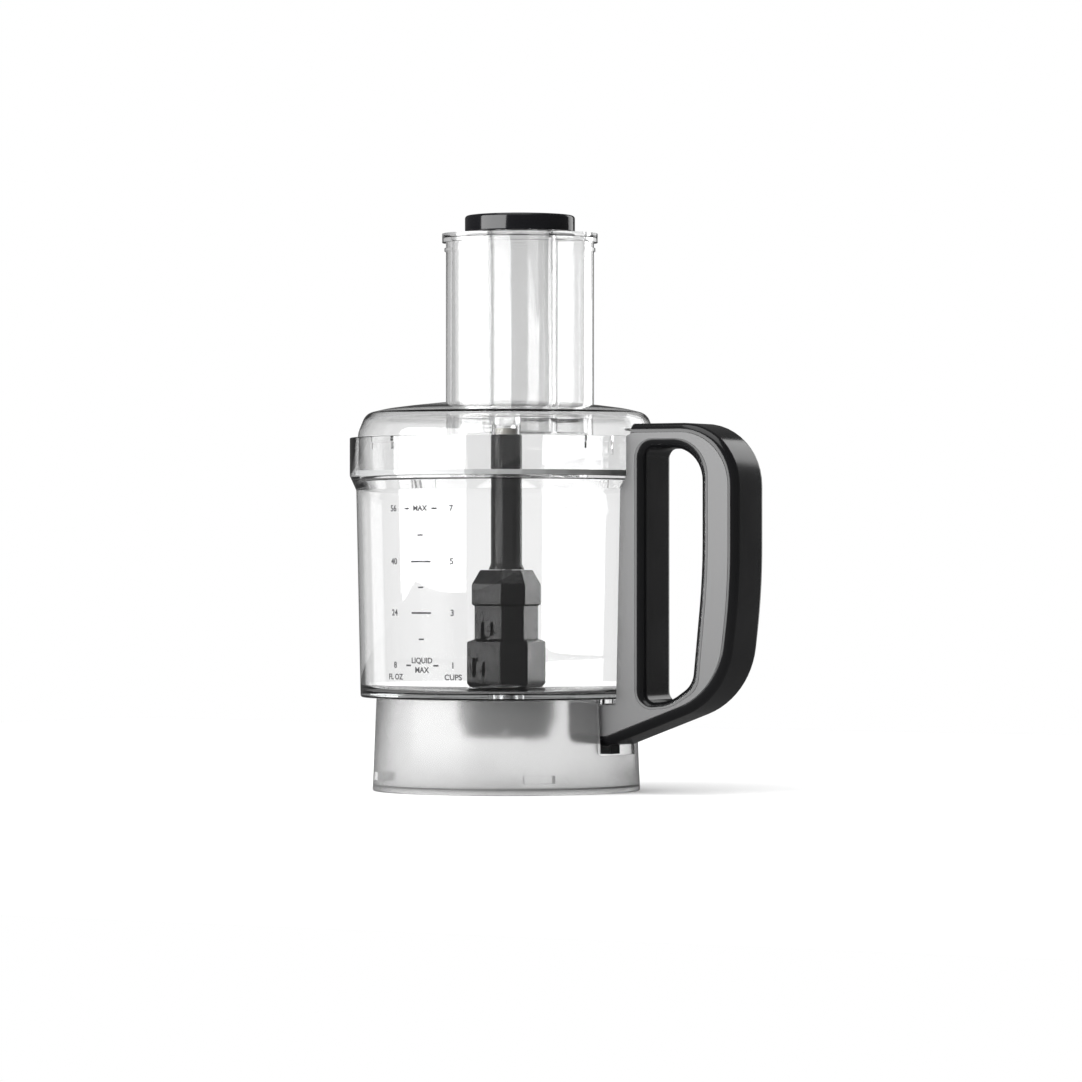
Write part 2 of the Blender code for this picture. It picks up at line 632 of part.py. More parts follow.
def gearbox():
    housing = turned("gearbox_housing", [
        (HOUSING_R, HOUSING_TOP), (HOUSING_R, HOUSING_SPLIT), (HOUSING_BORE, HOUSING_SPLIT),
        (HOUSING_BORE, 0.0448), (0.0072, 0.0448), (0.0072, HOUSING_TOP),
    ], DARK, SMALL_STEPS)
    cover = turned("gearbox_cover", [
        (0.0200, 0.0352), (0.0200, HOUSING_SPLIT - GAP), (HOUSING_R, HOUSING_SPLIT - GAP),
        (HOUSING_R, HOUSING_FOOT),
        (HOUSING_R - 0.002, HOUSING_FOOT), (HOUSING_R - 0.002, 0.0318), (0.0056, 0.0318),
        (0.0056, 0.0352),
    ], DARK, SMALL_STEPS)
    for i, degrees in enumerate(EAR_TURNS):
        spot = (*polar(EAR_ORBIT, math.radians(degrees)), 0)
        low = HOUSING_SPLIT + 0.00002
        high = HOUSING_TOP - 0.00002
        join(housing, rod(f"housing_ear_{i}", EAR_R, low, high, None, 12, spot))
        high = HOUSING_SPLIT - GAP - 0.00002
        join(cover, rod(f"cover_ear_{i}", EAR_R, 0.0300, high, None, 12, spot))
        cut(housing, rod(f"housing_hole_{i}", 0.0016, 0.0300, 0.0500, None, 12, spot))
        cut(cover, rod(f"cover_hole_{i}", 0.0016, 0.0280, 0.0360, None, 12, spot))
        screw(f"gearbox_screw_{i + 1}", 0.0204, (spot[0], spot[1], 0.0297))
    ring("housing_gasket", 0.0222, 0.0190, 0.0475, 0.0482, RUBBER)
    ring("output_bearing", 0.0070, SHAFT_R + RUN, 0.0450, 0.0471, BRONZE)
    ring("input_bush", 0.0054, SPINDLE_R + RUN, 0.0320, 0.0349, BRONZE)
    ring("upper_bush", TUBE_BORE - RUN, SHAFT_R + RUN, 0.0820, 0.0890, BRONZE)
    ring("shaft_seal", TUBE_BORE - RUN, SHAFT_R + RUN, 0.0893, 0.0916, RUBBER)
    gap_shape = tooth_outline(
        RING_TEETH, MODULE * 24 + 0.0009, MODULE * 24 - 0.0006, -0.00008, math.pi / RING_TEETH
    )
    plate("ring_gear", [circle(0.0200, SMALL_STEPS), gap_shape], GEAR_LOW, GEAR_HIGH, NYLON)
    sun = plate("input_shaft", [
        tooth_outline(SUN_TEETH, 0.0052, 0.0036, TOOTH_PLAY, 0)
    ], GEAR_LOW, GEAR_HIGH, STEEL)
    join(sun, rod("sun_spindle", SPINDLE_R, SOCKET_TOP + 0.0002, GEAR_LOW + 0.001, None, 16))
    for i, degrees in enumerate(PLANET_TURNS):
        turn = math.radians(degrees)
        spot = polar(ORBIT, turn)
        gear = tooth_outline(
            PLANET_TEETH, 0.00735, 0.0058, TOOTH_PLAY, turn + math.pi / PLANET_TEETH
        )
        plate(f"planet_gear_{i + 1}", [gear, circle(0.0018, 12)], GEAR_LOW, GEAR_HIGH, NYLON, spot)
        rod(f"planet_pin_{i + 1}", 0.0014, 0.0353, 0.0445, STEEL, 12, (*spot, 0))


def drive_coupling():
    """The socket under the gearbox that a motor base turns."""
    coupling = turned("drive_coupling", [
        (0.0125, 0.0314), (0.0125, HOUSING_FOOT + 0.0006), (0.0119, HOUSING_FOOT),
        (SPINDLE_R + GAP, HOUSING_FOOT), (SPINDLE_R + GAP, 0.0314),
    ], STEEL, SMALL_STEPS)
    cut(coupling, rod("drive_socket", 0.0072, HOUSING_FOOT - 0.001, SOCKET_TOP, None, 6))


# ---------------------------------------------------------------- blade


def output_shaft():
    shaft = turned("output_shaft", [
        (0, 0.0925), (SHAFT_R, 0.0925), (SHAFT_R, 0.0446), (CARRIER_R, 0.0446), (CARRIER_R, 0.0424),
        (0, 0.0424),
    ], STEEL, SMALL_STEPS)
    join(shaft, rod("hexagon", HEX_R, 0.0900, 0.1040, None, 6))
    for i, degrees in enumerate(PLANET_TURNS):
        spot = (*polar(ORBIT, math.radians(degrees)), 0)
        cut(shaft, rod(f"pin_hole_{i}", 0.0016, 0.0410, 0.0450, None, 12, spot))


def blade(name, height, degrees):
    """A curved blade that sweeps back from the hub."""
    steps = 8
    front = []
    back = []
    for k in range(steps + 1):
        share = k / steps
        radius = BLADE_ROOT + (BLADE_REACH - BLADE_ROOT) * share
        middle = math.radians(degrees) - 0.25 * share * share
        width = 0.0170 * (1 - 0.72 * share ** 1.5)
        half = width / 2 / radius
        front.append(polar(radius, middle - half))
        back.append(polar(radius, middle + half))
    return plate(name, [front + back[::-1]], height, height + BLADE_THICK, STEEL)


def hub_outline(scale):
    """The hub's six-sided section, which has the same shape turned half a turn."""
    half = [(x * scale, y * scale, 1.2) for x, y in HUB_CORNERS]
    return rounded(half + [(-x, -y, radius) for x, y, radius in half])


def blade_hub():
    hub = lofted("blade_hub", [(height, hub_outline(scale)) for height, scale in HUB_LEVELS], DARK)
    cut(hub, rod("hub_bore", TUBE_R + 0.0010, 0.0500, 0.0930, None, SMALL_STEPS))
    cut(hub, rod("spindle_hole", 0.0034, 0.0920, 0.1200, None, 16))
    cut(hub, rod("hexagon_socket", HEX_R + 0.00035, 0.0920, 0.1050, None, 6))
    for name, (height, degrees) in (("lower_blade", LOWER_BLADE), ("upper_blade", UPPER_BLADE)):
        blade(name, height, degrees)
        half = 0.0094
        top = height + BLADE_THICK + GAP
        slot = block(f"{name}_slot", (0.0098, -half, height - GAP), (0.0260, half, top))
        slot.rotation_euler = (0, 0, math.radians(degrees))
        cut(hub, slot)
    for side in (-1, 1):
        for i, (x, outer, height, half) in enumerate(HUB_WINDOWS):
            low = (side * x - 0.0030, side * outer - 0.0030, height - half)
            high = (side * x + 0.0030, side * outer + 0.0030, height + half)
            cut(hub, block(f"hub_window_{i}_{side}", low, high))


def stem():
    ring("stem", STEM_R, 0.0034, HUB_TOP + 0.0002, 0.1679, DARK)
    head = ring("stem_head", STEM_R, 0.0034, 0.1682, 0.1820, DARK)
    window = block("stem_window", (0.0045, -0.0035, 0.1712), (0.0120, 0.0035, 0.1790))
    window.rotation_euler = (0, 0, math.radians(-60))
    cut(head, window)
    turned("stem_spindle", [
        (0, 0.1896), (0.0022, 0.1896), (0.0030, 0.1888), (0.0030, 0.1100), (0, 0.1100),
    ], STEEL, 16)


work_bowl()
base_skirt()
lid()
pushers()
handle()
handle_screws()
interlock()
gearbox()
drive_coupling()
output_shaft()
blade_hub()
stem()
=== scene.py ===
import math

import bmesh
import bpy
from mathutils import Matrix, Vector


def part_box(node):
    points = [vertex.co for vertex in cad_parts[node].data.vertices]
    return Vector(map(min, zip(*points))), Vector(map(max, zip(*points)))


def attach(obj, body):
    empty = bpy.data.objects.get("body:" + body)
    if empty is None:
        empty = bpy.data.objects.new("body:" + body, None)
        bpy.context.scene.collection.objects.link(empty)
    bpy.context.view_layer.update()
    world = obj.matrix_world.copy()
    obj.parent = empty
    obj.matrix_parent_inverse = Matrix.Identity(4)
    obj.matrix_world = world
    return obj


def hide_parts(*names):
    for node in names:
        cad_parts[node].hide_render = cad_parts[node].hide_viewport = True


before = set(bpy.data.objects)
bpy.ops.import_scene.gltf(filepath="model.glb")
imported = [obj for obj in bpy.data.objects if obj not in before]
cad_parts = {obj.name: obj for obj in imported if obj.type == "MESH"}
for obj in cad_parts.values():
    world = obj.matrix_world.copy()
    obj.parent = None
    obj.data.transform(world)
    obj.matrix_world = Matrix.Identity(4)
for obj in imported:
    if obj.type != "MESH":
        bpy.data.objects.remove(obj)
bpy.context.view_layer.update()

MM = 0.001
FINE = 128                     # sides of a large turned piece
SMALL = 64                     # sides of a small turned piece
GAP = 0.0003

# Places read from the frame
skirt_low, skirt_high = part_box("base_skirt")
cap_low, cap_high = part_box("pusher_cap")
AXIS_X = (skirt_low[0] + skirt_high[0]) / 2
CHUTE_X = (cap_low[0] + cap_high[0]) / 2 - AXIS_X
CHUTE_Y = (cap_low[1] + cap_high[1]) / 2
HANDLE_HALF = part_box("handle_cover_far")[1][1]

# Sizes that repeat the CAD part's own, except the handle's rounding
COLLAR_TOP = 0.1830
BOWL_UNDERSIDE = 0.0485
BOWL_BASE_R = 0.0757
BOWL_SHOULDER_R = 0.0780
BOWL_SHOULDER_Z = 0.1555
COLLAR_R = 0.0814
COLLAR_BORE = 0.0794
COLLAR_Z = 0.1630
LUG_ANGLES = [-23, 67, 157, 247]
LUG_HALF = 6
CHUTE_TURN = math.radians(30)
CHUTE_HALF = (0.0390, 0.0270)
CHUTE_WALL = 0.0022
CHUTE_FOOT = 0.1850
CHUTE_TOP = 0.2890
RIM_OUT = 0.0020
RIM_THICK = 0.0022
PUSHER_WALL = 0.0018
EDGE = 4.4                     # radius of the handle's outer edges, millimetres
SEAM = 4.8                     # from the outer edge in to a side cover, millimetres
LIP = 4.6                      # rounding round the gap for the fingers, millimetres
HUB_CORNERS = [(-11.8, -15.9), (6.0, -15.9), (16.2, -8.8)]
EAR_ORBIT = 0.0253
EAR_TURNS = [60, 180, 300]

scene = bpy.context.scene
model = bpy.data.collections.new("looks")
scene.collection.children.link(model)


# ---------------------------------------------------------------- mesh tools


def add(name, mesh):
    obj = bpy.data.objects.new(name, mesh)
    model.objects.link(obj)
    return obj


def evaluated_mesh(obj):
    """A new mesh of the object as its modifiers leave it."""
    bpy.context.view_layer.update()
    evaluated = obj.evaluated_get(bpy.context.evaluated_depsgraph_get())
    return bpy.data.meshes.new_from_object(evaluated)


def applied(obj, sharp=32):
    """The object with its modifiers applied, placed on the bowl's axis and shaded smooth."""
    mesh = evaluated_mesh(obj)
    name = obj.name
    place = obj.matrix_world.copy()
    old = obj.data
    bpy.data.objects.remove(obj)
    if isinstance(old, bpy.types.Mesh):
        bpy.data.meshes.remove(old)
    else:
        bpy.data.curves.remove(old)
    mesh.transform(place)
    shape = bmesh.new()
    shape.from_mesh(mesh)
    bmesh.ops.remove_doubles(shape, verts=shape.verts, dist=0.000001)
    bmesh.ops.dissolve_degenerate(shape, edges=shape.edges, dist=0.0000005)
    bmesh.ops.recalc_face_normals(shape, faces=shape.faces)
    shape.to_mesh(mesh)
    shape.free()
    mesh.shade_smooth()
    mesh.set_sharp_from_angle(angle=math.radians(sharp))
    new = add(name, mesh)
    new.name = name
    mesh.name = name
    return new


def lathe(name, outline, steps=FINE, centre=(0, 0)):
    """A turned solid about the bowl's axis, or about a line beside it."""
    count = len(outline)
    on_axis = outline[0][0] == 0 and outline[-1][0] == 0
    edges = [(i, i + 1) for i in range(count - 1)]
    if not on_axis:
        edges.append((count - 1, 0))
    mesh = bpy.data.meshes.new(name)
    mesh.from_pydata([(radius, 0, height) for radius, height in outline], edges, [])
    obj = add(name, mesh)
    screw = obj.modifiers.new("Turn", "SCREW")
    screw.steps = steps
    screw.render_steps = steps
    screw.use_merge_vertices = True
    screw.merge_threshold = 0.000001
    obj.location = (AXIS_X + centre[0], centre[1], 0)
    return applied(obj)


def prism(name, outlines, low, high, centre=(0, 0), turn=0.0, upright=False):
    """A flat outline with holes, given a thickness. Upright ones stand between two Y values."""
    curve = bpy.data.curves.new(name, "CURVE")
    curve.dimensions = "2D"
    curve.fill_mode = "BOTH"
    curve.extrude = (high - low) / 2
    for outline in outlines:
        spline = curve.splines.new("POLY")
        spline.points.add(len(outline) - 1)
        for point, (x, y) in zip(spline.points, outline):
            point.co = (x, y, 0, 1)
        spline.use_cyclic_u = True
    obj = add(name, curve)
    middle = (low + high) / 2
    if upright:
        obj.location = (AXIS_X + centre[0], middle, centre[1])
        obj.rotation_euler = (math.radians(90), 0, 0)
    else:
        obj.location = (AXIS_X + centre[0], centre[1], middle)
        obj.rotation_euler = (0, 0, turn)
    return applied(obj)


def box(name, low, high, turn=0.0):
    """A box between two corners, about the bowl's axis and turned round it."""
    mesh = bpy.data.meshes.new(name)
    shape = bmesh.new()
    size = Vector(high) - Vector(low)
    middle = (Vector(high) + Vector(low)) / 2
    bmesh.ops.create_cube(shape, size=1, matrix=Matrix.Translation(middle) @ Matrix.Diagonal((*size, 1)))
    shape.to_mesh(mesh)
    shape.free()
    obj = add(name, mesh)
    obj.location = (AXIS_X, 0, 0)
    obj.rotation_euler = (0, 0, math.radians(turn))
    return applied(obj)


def post(name, radius, low, high, centre, steps=32, turn=(0, 0, 0), lift=0.0):
    """A round rod along its own Z."""
    mesh = bpy.data.meshes.new(name)
    shape = bmesh.new()
    middle = Matrix.Translation((0, 0, (low + high) / 2))
    bmesh.ops.create_cone(
        shape, cap_ends=True, segments=steps, radius1=radius, radius2=radius, depth=high - low, matrix=middle
    )
    shape.to_mesh(mesh)
    shape.free()
    obj = add(name, mesh)
    obj.location = (AXIS_X + centre[0], centre[1], lift)
    obj.rotation_euler = turn
    return applied(obj)


def lofted(name, levels, upright=False):
    """A solid through outlines of the same length, stacked upwards or, upright, along Y."""
    count = len(levels[0][1])
    points = []
    for height, outline in levels:
        for x, other in outline:
            points.append((x, height, other) if upright else (x, other, height))
    faces = [tuple(range(count)), tuple(range(len(points) - count, len(points)))]
    for k in range(len(levels) - 1):
        for i in range(count):
            j = (i + 1) % count
            low = k * count
            high = low + count
            faces.append((low + i, low + j, high + j, high + i))
    mesh = bpy.data.meshes.new(name)
    mesh.from_pydata(points, [], faces)
    obj = add(name, mesh)
    obj.location = (AXIS_X, 0, 0)
    return applied(obj)


def combine(obj, operation, *tools):
    """Joins tools on, or cuts them away, and removes them."""
    for tool in tools:
        change = obj.modifiers.new(tool.name, "BOOLEAN")
        change.operation = operation
        change.solver = "EXACT"
        change.object = tool
    done = applied(obj)
    for tool in tools:
        mesh = tool.data
        bpy.data.objects.remove(tool)
        bpy.data.meshes.remove(mesh)
    return done


def flattened(obj):
    """Shades large faces flat and leaves the roundings between them smooth."""
    weigh = obj.modifiers.new("Weigh", "WEIGHTED_NORMAL")
    weigh.mode = "FACE_AREA"
    weigh.weight = 50
    weigh.keep_sharp = True
    mesh = evaluated_mesh(obj)
    old = obj.data
    obj.modifiers.clear()
    obj.data = mesh
    bpy.data.meshes.remove(old)
    mesh.name = obj.name
    return obj


def soften(obj, width, segments=2, angle=40):
    """Rounds an object's sharp edges."""
    bevel = obj.modifiers.new("Soften", "BEVEL")
    bevel.width = width
    bevel.segments = segments
    bevel.limit_method = "ANGLE"
    bevel.angle_limit = math.radians(angle)
    bevel.use_clamp_overlap = True
    bevel.harden_normals = False
    return applied(obj)


def polar(radius, turn):
    return (radius * math.cos(turn), radius * math.sin(turn))


def sector(inner, outer, start, end, steps):
    turns = [start + (end - start) * i / steps for i in range(steps + 1)]
    return [polar(outer, turn) for turn in turns] + [polar(inner, turn) for turn in reversed(turns)]


def oval(half_long, half_deep, points=96):
    outline = []
    for i in range(points):
        turn = 2 * math.pi * i / points
        along = math.copysign(abs(math.cos(turn)) ** 0.9, math.cos(turn))
        across = math.copysign(abs(math.sin(turn)) ** 0.9, math.sin(turn))
        outline.append((half_long * along, half_deep * across))
    return outline


def rounded(corners, steps=8, closed=True):
    """An outline with its corners rounded. A corner is (x, z, radius) in millimetres."""
    outline = []
    count = len(corners)
    for i, (x, z, radius) in enumerate(corners):
        here = Vector((x, z))
        if radius == 0 or (not closed and i in (0, count - 1)):
            outline.append((x * MM, z * MM))
            continue
        back = (Vector(corners[i - 1][:2]) - here).normalized()
        onward = (Vector(corners[(i + 1) % count][:2]) - here).normalized()
        half = back.angle(onward) / 2
        centre = here + (back + onward).normalized() * radius / math.sin(half)
        start = here + back * radius / math.tan(half) - centre
        end = here + onward * radius / math.tan(half) - centre
        sweep = start.angle_signed(end)
        for k in range(steps + 1):
            spoke = Matrix.Rotation(-sweep * k / steps, 2) @ start
            outline.append(((centre.x + spoke.x) * MM, (centre.y + spoke.y) * MM))
    return outline


def wall_radius(height):
    share = (height - BOWL_UNDERSIDE) / (BOWL_SHOULDER_Z - BOWL_UNDERSIDE)
    return BOWL_BASE_R + (BOWL_SHOULDER_R - BOWL_BASE_R) * share


# ---------------------------------------------------------------- materials


def new_material(name):
    material = bpy.data.materials.new(name)
    material.use_nodes = True
    nodes = material.node_tree.nodes
    return material, nodes, material.node_tree.links, nodes["Principled BSDF"]


def noise(nodes, links, scale, detail=3.0, stretch=None):
    """A noise texture in the object's own coordinates."""
    coordinates = nodes.new("ShaderNodeTexCoord")
    mapping = nodes.new("ShaderNodeMapping")
    links.new(coordinates.outputs["Object"], mapping.inputs["Vector"])
    if stretch:
        mapping.inputs["Scale"].default_value = stretch
    texture = nodes.new("ShaderNodeTexNoise")
    texture.inputs["Scale"].default_value = scale
    texture.inputs["Detail"].default_value = detail
    links.new(mapping.outputs["Vector"], texture.inputs["Vector"])
    return texture.outputs["Fac"]


def ranged(nodes, links, source, low, high):
    """A 0..1 value mapped to a range."""
    node = nodes.new("ShaderNodeMapRange")
    node.inputs["To Min"].default_value = low
    node.inputs["To Max"].default_value = high
    links.new(source, node.inputs["Value"])
    return node.outputs["Result"]


def bumped(nodes, links, shader, source, strength, distance):
    bump = nodes.new("ShaderNodeBump")
    bump.inputs["Strength"].default_value = strength
    bump.inputs["Distance"].default_value = distance
    links.new(source, bump.inputs["Height"])
    links.new(bump.outputs["Normal"], shader.inputs["Normal"])


def plastic(name, colour, rough, grain=1500.0, bump=0.15, specular=0.5, spread=0.06):
    """Moulded plastic: slightly uneven gloss and colour with a fine grain."""
    material, nodes, links, shader = new_material(name)
    cloud = noise(nodes, links, 35.0)
    links.new(ranged(nodes, links, cloud, rough - spread, rough + spread), shader.inputs["Roughness"])
    tint = nodes.new("ShaderNodeValToRGB")
    tint.color_ramp.elements[0].color = (*[c * 0.92 for c in colour], 1)
    tint.color_ramp.elements[1].color = (*[c * 1.08 for c in colour], 1)
    links.new(cloud, tint.inputs["Fac"])
    links.new(tint.outputs["Color"], shader.inputs["Base Color"])
    shader.inputs["Specular IOR Level"].default_value = specular
    bumped(nodes, links, shader, noise(nodes, links, grain, 2.0), bump, 0.00004)
    return material


def metal(name, colour, rough, stretch=(1, 1, 30), scale=180.0):
    """Machined metal with fine tool marks."""
    material, nodes, links, shader = new_material(name)
    marks = noise(nodes, links, scale, 4.0, stretch)
    links.new(ranged(nodes, links, marks, rough - 0.08, rough + 0.10), shader.inputs["Roughness"])
    tint = nodes.new("ShaderNodeValToRGB")
    tint.color_ramp.elements[0].color = (*[c * 0.85 for c in colour], 1)
    tint.color_ramp.elements[1].color = (*colour, 1)
    links.new(marks, tint.inputs["Fac"])
    links.new(tint.outputs["Color"], shader.inputs["Base Color"])
    shader.inputs["Metallic"].default_value = 1.0
    bumped(nodes, links, shader, marks, 0.1, 0.00003)
    return material


def clear(name, colour, density, rough, ripple=0.06, shadow=0.86):
    """Clear plastic that darkens with the depth of plastic looked through. Lamps pass through it."""
    material, nodes, links, shader = new_material(name)
    shader.inputs["Base Color"].default_value = (*colour, 1)
    shader.inputs["Transmission Weight"].default_value = 1.0
    shader.inputs["IOR"].default_value = 1.49
    shader.inputs["Specular IOR Level"].default_value = 0.25
    cloud = noise(nodes, links, 22.0, 2.0)
    links.new(ranged(nodes, links, cloud, max(0.0, rough - 0.012), rough + 0.012), shader.inputs["Roughness"])
    bumped(nodes, links, shader, noise(nodes, links, 30.0, 1.0, (1, 1, 0.25)), ripple, 0.0006)
    lamp = nodes.new("ShaderNodeBsdfTransparent")
    lamp.inputs["Color"].default_value = (shadow, shadow, shadow, 1)
    path = nodes.new("ShaderNodeLightPath")
    mix = nodes.new("ShaderNodeMixShader")
    links.new(path.outputs["Is Shadow Ray"], mix.inputs["Fac"])
    links.new(shader.outputs["BSDF"], mix.inputs[1])
    links.new(lamp.outputs["BSDF"], mix.inputs[2])
    output = nodes["Material Output"]
    links.new(mix.outputs["Shader"], output.inputs["Surface"])
    depth = nodes.new("ShaderNodeVolumeAbsorption")
    depth.inputs["Color"].default_value = (0.60, 0.61, 0.61, 1)
    depth.inputs["Density"].default_value = density
    links.new(depth.outputs["Volume"], output.inputs["Volume"])
    return material


def frosted(name):
    """Textured clear plastic that blurs what is behind it."""
    material, nodes, links, shader = new_material(name)
    cloud = noise(nodes, links, 18.0, 2.0)
    tint = nodes.new("ShaderNodeValToRGB")
    tint.color_ramp.elements[0].color = (0.85, 0.85, 0.85, 1)
    tint.color_ramp.elements[1].color = (0.91, 0.91, 0.91, 1)
    links.new(cloud, tint.inputs["Fac"])
    links.new(tint.outputs["Color"], shader.inputs["Base Color"])
    shader.inputs["Transmission Weight"].default_value = 0.88
    shader.inputs["IOR"].default_value = 1.35
    links.new(ranged(nodes, links, cloud, 0.21, 0.26), shader.inputs["Roughness"])
    bumped(nodes, links, shader, noise(nodes, links, 2600.0, 2.0), 0.12, 0.00005)
    return material


CLEAR = clear("clear_plastic", (0.985, 0.985, 0.985), 13.0, 0.012, 0.02)
CLEAR_LID = clear("clear_lid_plastic", (0.985, 0.985, 0.985), 16.0, 0.016, 0.02)
FROSTED = frosted("frosted_plastic")
BLACK = plastic("black_plastic", (0.005, 0.005, 0.0055), 0.15, grain=5000.0, bump=0.02, spread=0.03)
CAP_BLACK = plastic("cap_black_plastic", (0.005, 0.005, 0.006), 0.10, bump=0.01, spread=0.02)
GREY = plastic("grey_plastic", (0.085, 0.085, 0.086), 0.30, bump=0.05)
DARK = plastic(
    "dark_plastic", (0.003, 0.003, 0.0033), 0.17, grain=6000.0, bump=0.02, specular=0.19, spread=0.03
)
NYLON = plastic("nylon_plastic", (0.62, 0.60, 0.54), 0.48, bump=0.25)
INK = plastic("scale_ink", (0.03, 0.03, 0.033), 0.6, bump=0.1)
RUBBER = plastic("rubber_black", (0.02, 0.02, 0.02), 0.75, grain=900.0, bump=0.4)
SILICONE = plastic("silicone_grey", (0.82, 0.83, 0.83), 0.55, bump=0.2)
STEEL = metal("steel", (0.60, 0.60, 0.61), 0.24)
BLADE_STEEL = metal("blade_steel", (0.66, 0.66, 0.67), 0.20, (1, 25, 1), 120.0)
BRONZE = metal("sintered_bronze", (0.42, 0.28, 0.14), 0.42, (1, 1, 1), 700.0)


def dress(obj, material, body, slot, *nodes):
    """Gives a piece its material and its body, and hides the CAD nodes it stands for. The slot is not used.
    """
    obj.data.materials.clear()
    obj.data.materials.append(material)
    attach(obj, body)
    if nodes:
        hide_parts(*nodes)
    return obj


# ---------------------------------------------------------------- bowl


def make_bowl():
    outline = rounded([
        (81.4, 183.0, 0.5), (81.4, 163.4, 1.6), (78.0, 155.8, 1.6), (75.76, 48.5, 1.2),
        (6.5, 48.5, 0), (6.5, 92.0, 0.2), (8.5, 92.0, 0.6), (8.5, 51.5, 1.2),
        (73.45, 51.5, 4.0), (75.8, 155.5, 1.2), (76.3, 161.4, 0.4), (79.2, 161.4, 0.4),
        (79.4, 183.0, 0.5),
    ], 5)
    bowl = lathe("bowl_shell", outline)
    ledges = []
    for i, degrees in enumerate(LUG_ANGLES):
        start = math.radians(degrees - LUG_HALF)
        end = math.radians(degrees + LUG_HALF)
        ledge = prism(f"ledge_{i}", [sector(0.0776, COLLAR_BORE + 0.001, start, end, 10)], 0.1800, 0.1826)
        ledges.append(ledge)
    rib = box("rib", (0.0770, -0.0025, 0.1350), (0.0819, 0.0025, 0.1450))
    bosses = []
    holes = []
    for i, side in enumerate((-1, 1)):
        spot = (0.0600, side * 0.0098)
        bosses.append(post(f"boss_{i}", 0.0038, 0.0457, 0.0495, spot))
        holes.append(post(f"boss_hole_{i}", 0.0016, 0.0440, 0.0503, spot))
    for i, degrees in enumerate(EAR_TURNS):
        holes.append(post(f"floor_hole_{i}", 0.0016, 0.0470, 0.0505, polar(EAR_ORBIT, math.radians(degrees))))
    across = (math.radians(90), 0, 0)
    holes.append(post("rib_hole", 0.0016, -0.0060, 0.0060, (0.0798, 0), 24, across, 0.1400))
    bowl = combine(bowl, "UNION", *ledges, rib, *bosses)
    bowl = combine(bowl, "DIFFERENCE", *holes)
    bowl.name = "bowl_shell"
    dress(bowl, CLEAR, "bowl", "clear_plastic", "work_bowl")


def make_skirt():
    outline = rounded([
        (67.5, 48.2, 0.4), (69.5, 0, 0.8), (66.5, 0, 0.3), (66.5, 2.6, 0.3), (67.6, 3.6, 0.5),
        (65.7, 48.2, 0.4),
    ], 3)
    skirt = lathe("skirt_shell", outline)
    lugs = []
    for i in range(4):
        middle = math.radians(45 + 90 * i)
        lug = sector(0.0615, 0.0685, middle - 0.12, middle + 0.12, 10)
        lugs.append(prism(f"skirt_lug_{i}", [lug], 0.0060, 0.0100))
    skirt = combine(skirt, "UNION", *lugs)
    notch = box("notch", (0.05, -0.0180, 0.0195), (0.09, 0.0180, 0.06))
    skirt = combine(skirt, "DIFFERENCE", notch)
    dress(skirt, FROSTED, "bowl", "frosted_plastic", "base_skirt")


# ---------------------------------------------------------------- lid and pushers


def chute_prism(name, grow, low, high):
    outline = oval(CHUTE_HALF[0] + grow, CHUTE_HALF[1] + grow)
    return prism(name, [outline], low, high, (CHUTE_X, CHUTE_Y), CHUTE_TURN)


def lid_tab():
    follower = math.radians(8)
    twist = math.radians(15)
    outline = sector(0.0760, 0.0890, follower - twist - math.radians(0.6), follower + math.radians(2.2), 16)
    tab = prism("lid_tab", [outline], 0.1838, 0.1869)
    for vertex in tab.data.vertices:
        if vertex.co.z < 0.1845:
            turn = math.atan2(vertex.co.y, vertex.co.x - AXIS_X)
            vertex.co.z += 0.002 * min(1.0, max(0.0, (follower - turn) / twist))
    return tab


def make_lid():
    outline = rounded([
        (0, 202.0, 0), (34, 201.4, 60), (49.4, 199.8, 60), (62, 198.2, 60), (73.0, 195.6, 7),
        (77.1, 185.6, 9), (77.1, 161.7, 0.5), (75.1, 161.7, 0.5), (75.1, 185.2, 8),
        (71.4, 193.6, 5.5), (61.7, 196.0, 50), (34, 199.2, 50), (7.5, 199.6, 0.8),
        (7.5, 183.0, 0.4), (5.9, 183.0, 0.3), (5.9, 191.0, 0.4), (0, 191.0, 0),
    ], 5, closed=False)
    lid = lathe("lid_dome", outline)
    wall = chute_prism("chute_wall", 0, CHUTE_FOOT, CHUTE_TOP - 0.0005)
    rim = soften(chute_prism("chute_rim", RIM_OUT, CHUTE_TOP - RIM_THICK, CHUTE_TOP), 0.0004)
    band = chute_prism("chute_band", 0.0008, CHUTE_TOP - 0.0068, CHUTE_TOP - 0.0052)
    lugs = []
    for i, degrees in enumerate(LUG_ANGLES):
        start = math.radians(degrees - LUG_HALF)
        end = math.radians(degrees + LUG_HALF)
        lugs.append(prism(f"lug_{i}", [sector(0.0759, 0.0789, start, end, 10)], 0.1762, 0.1795))
    lid = combine(lid, "UNION", wall, rim, band, *lugs, lid_tab())
    bore = chute_prism("chute_bore", -CHUTE_WALL, CHUTE_FOOT - 0.01, CHUTE_TOP + 0.01)
    lid = combine(lid, "DIFFERENCE", bore)
    dress(lid, CLEAR_LID, "lid", "clear_plastic", "lid")


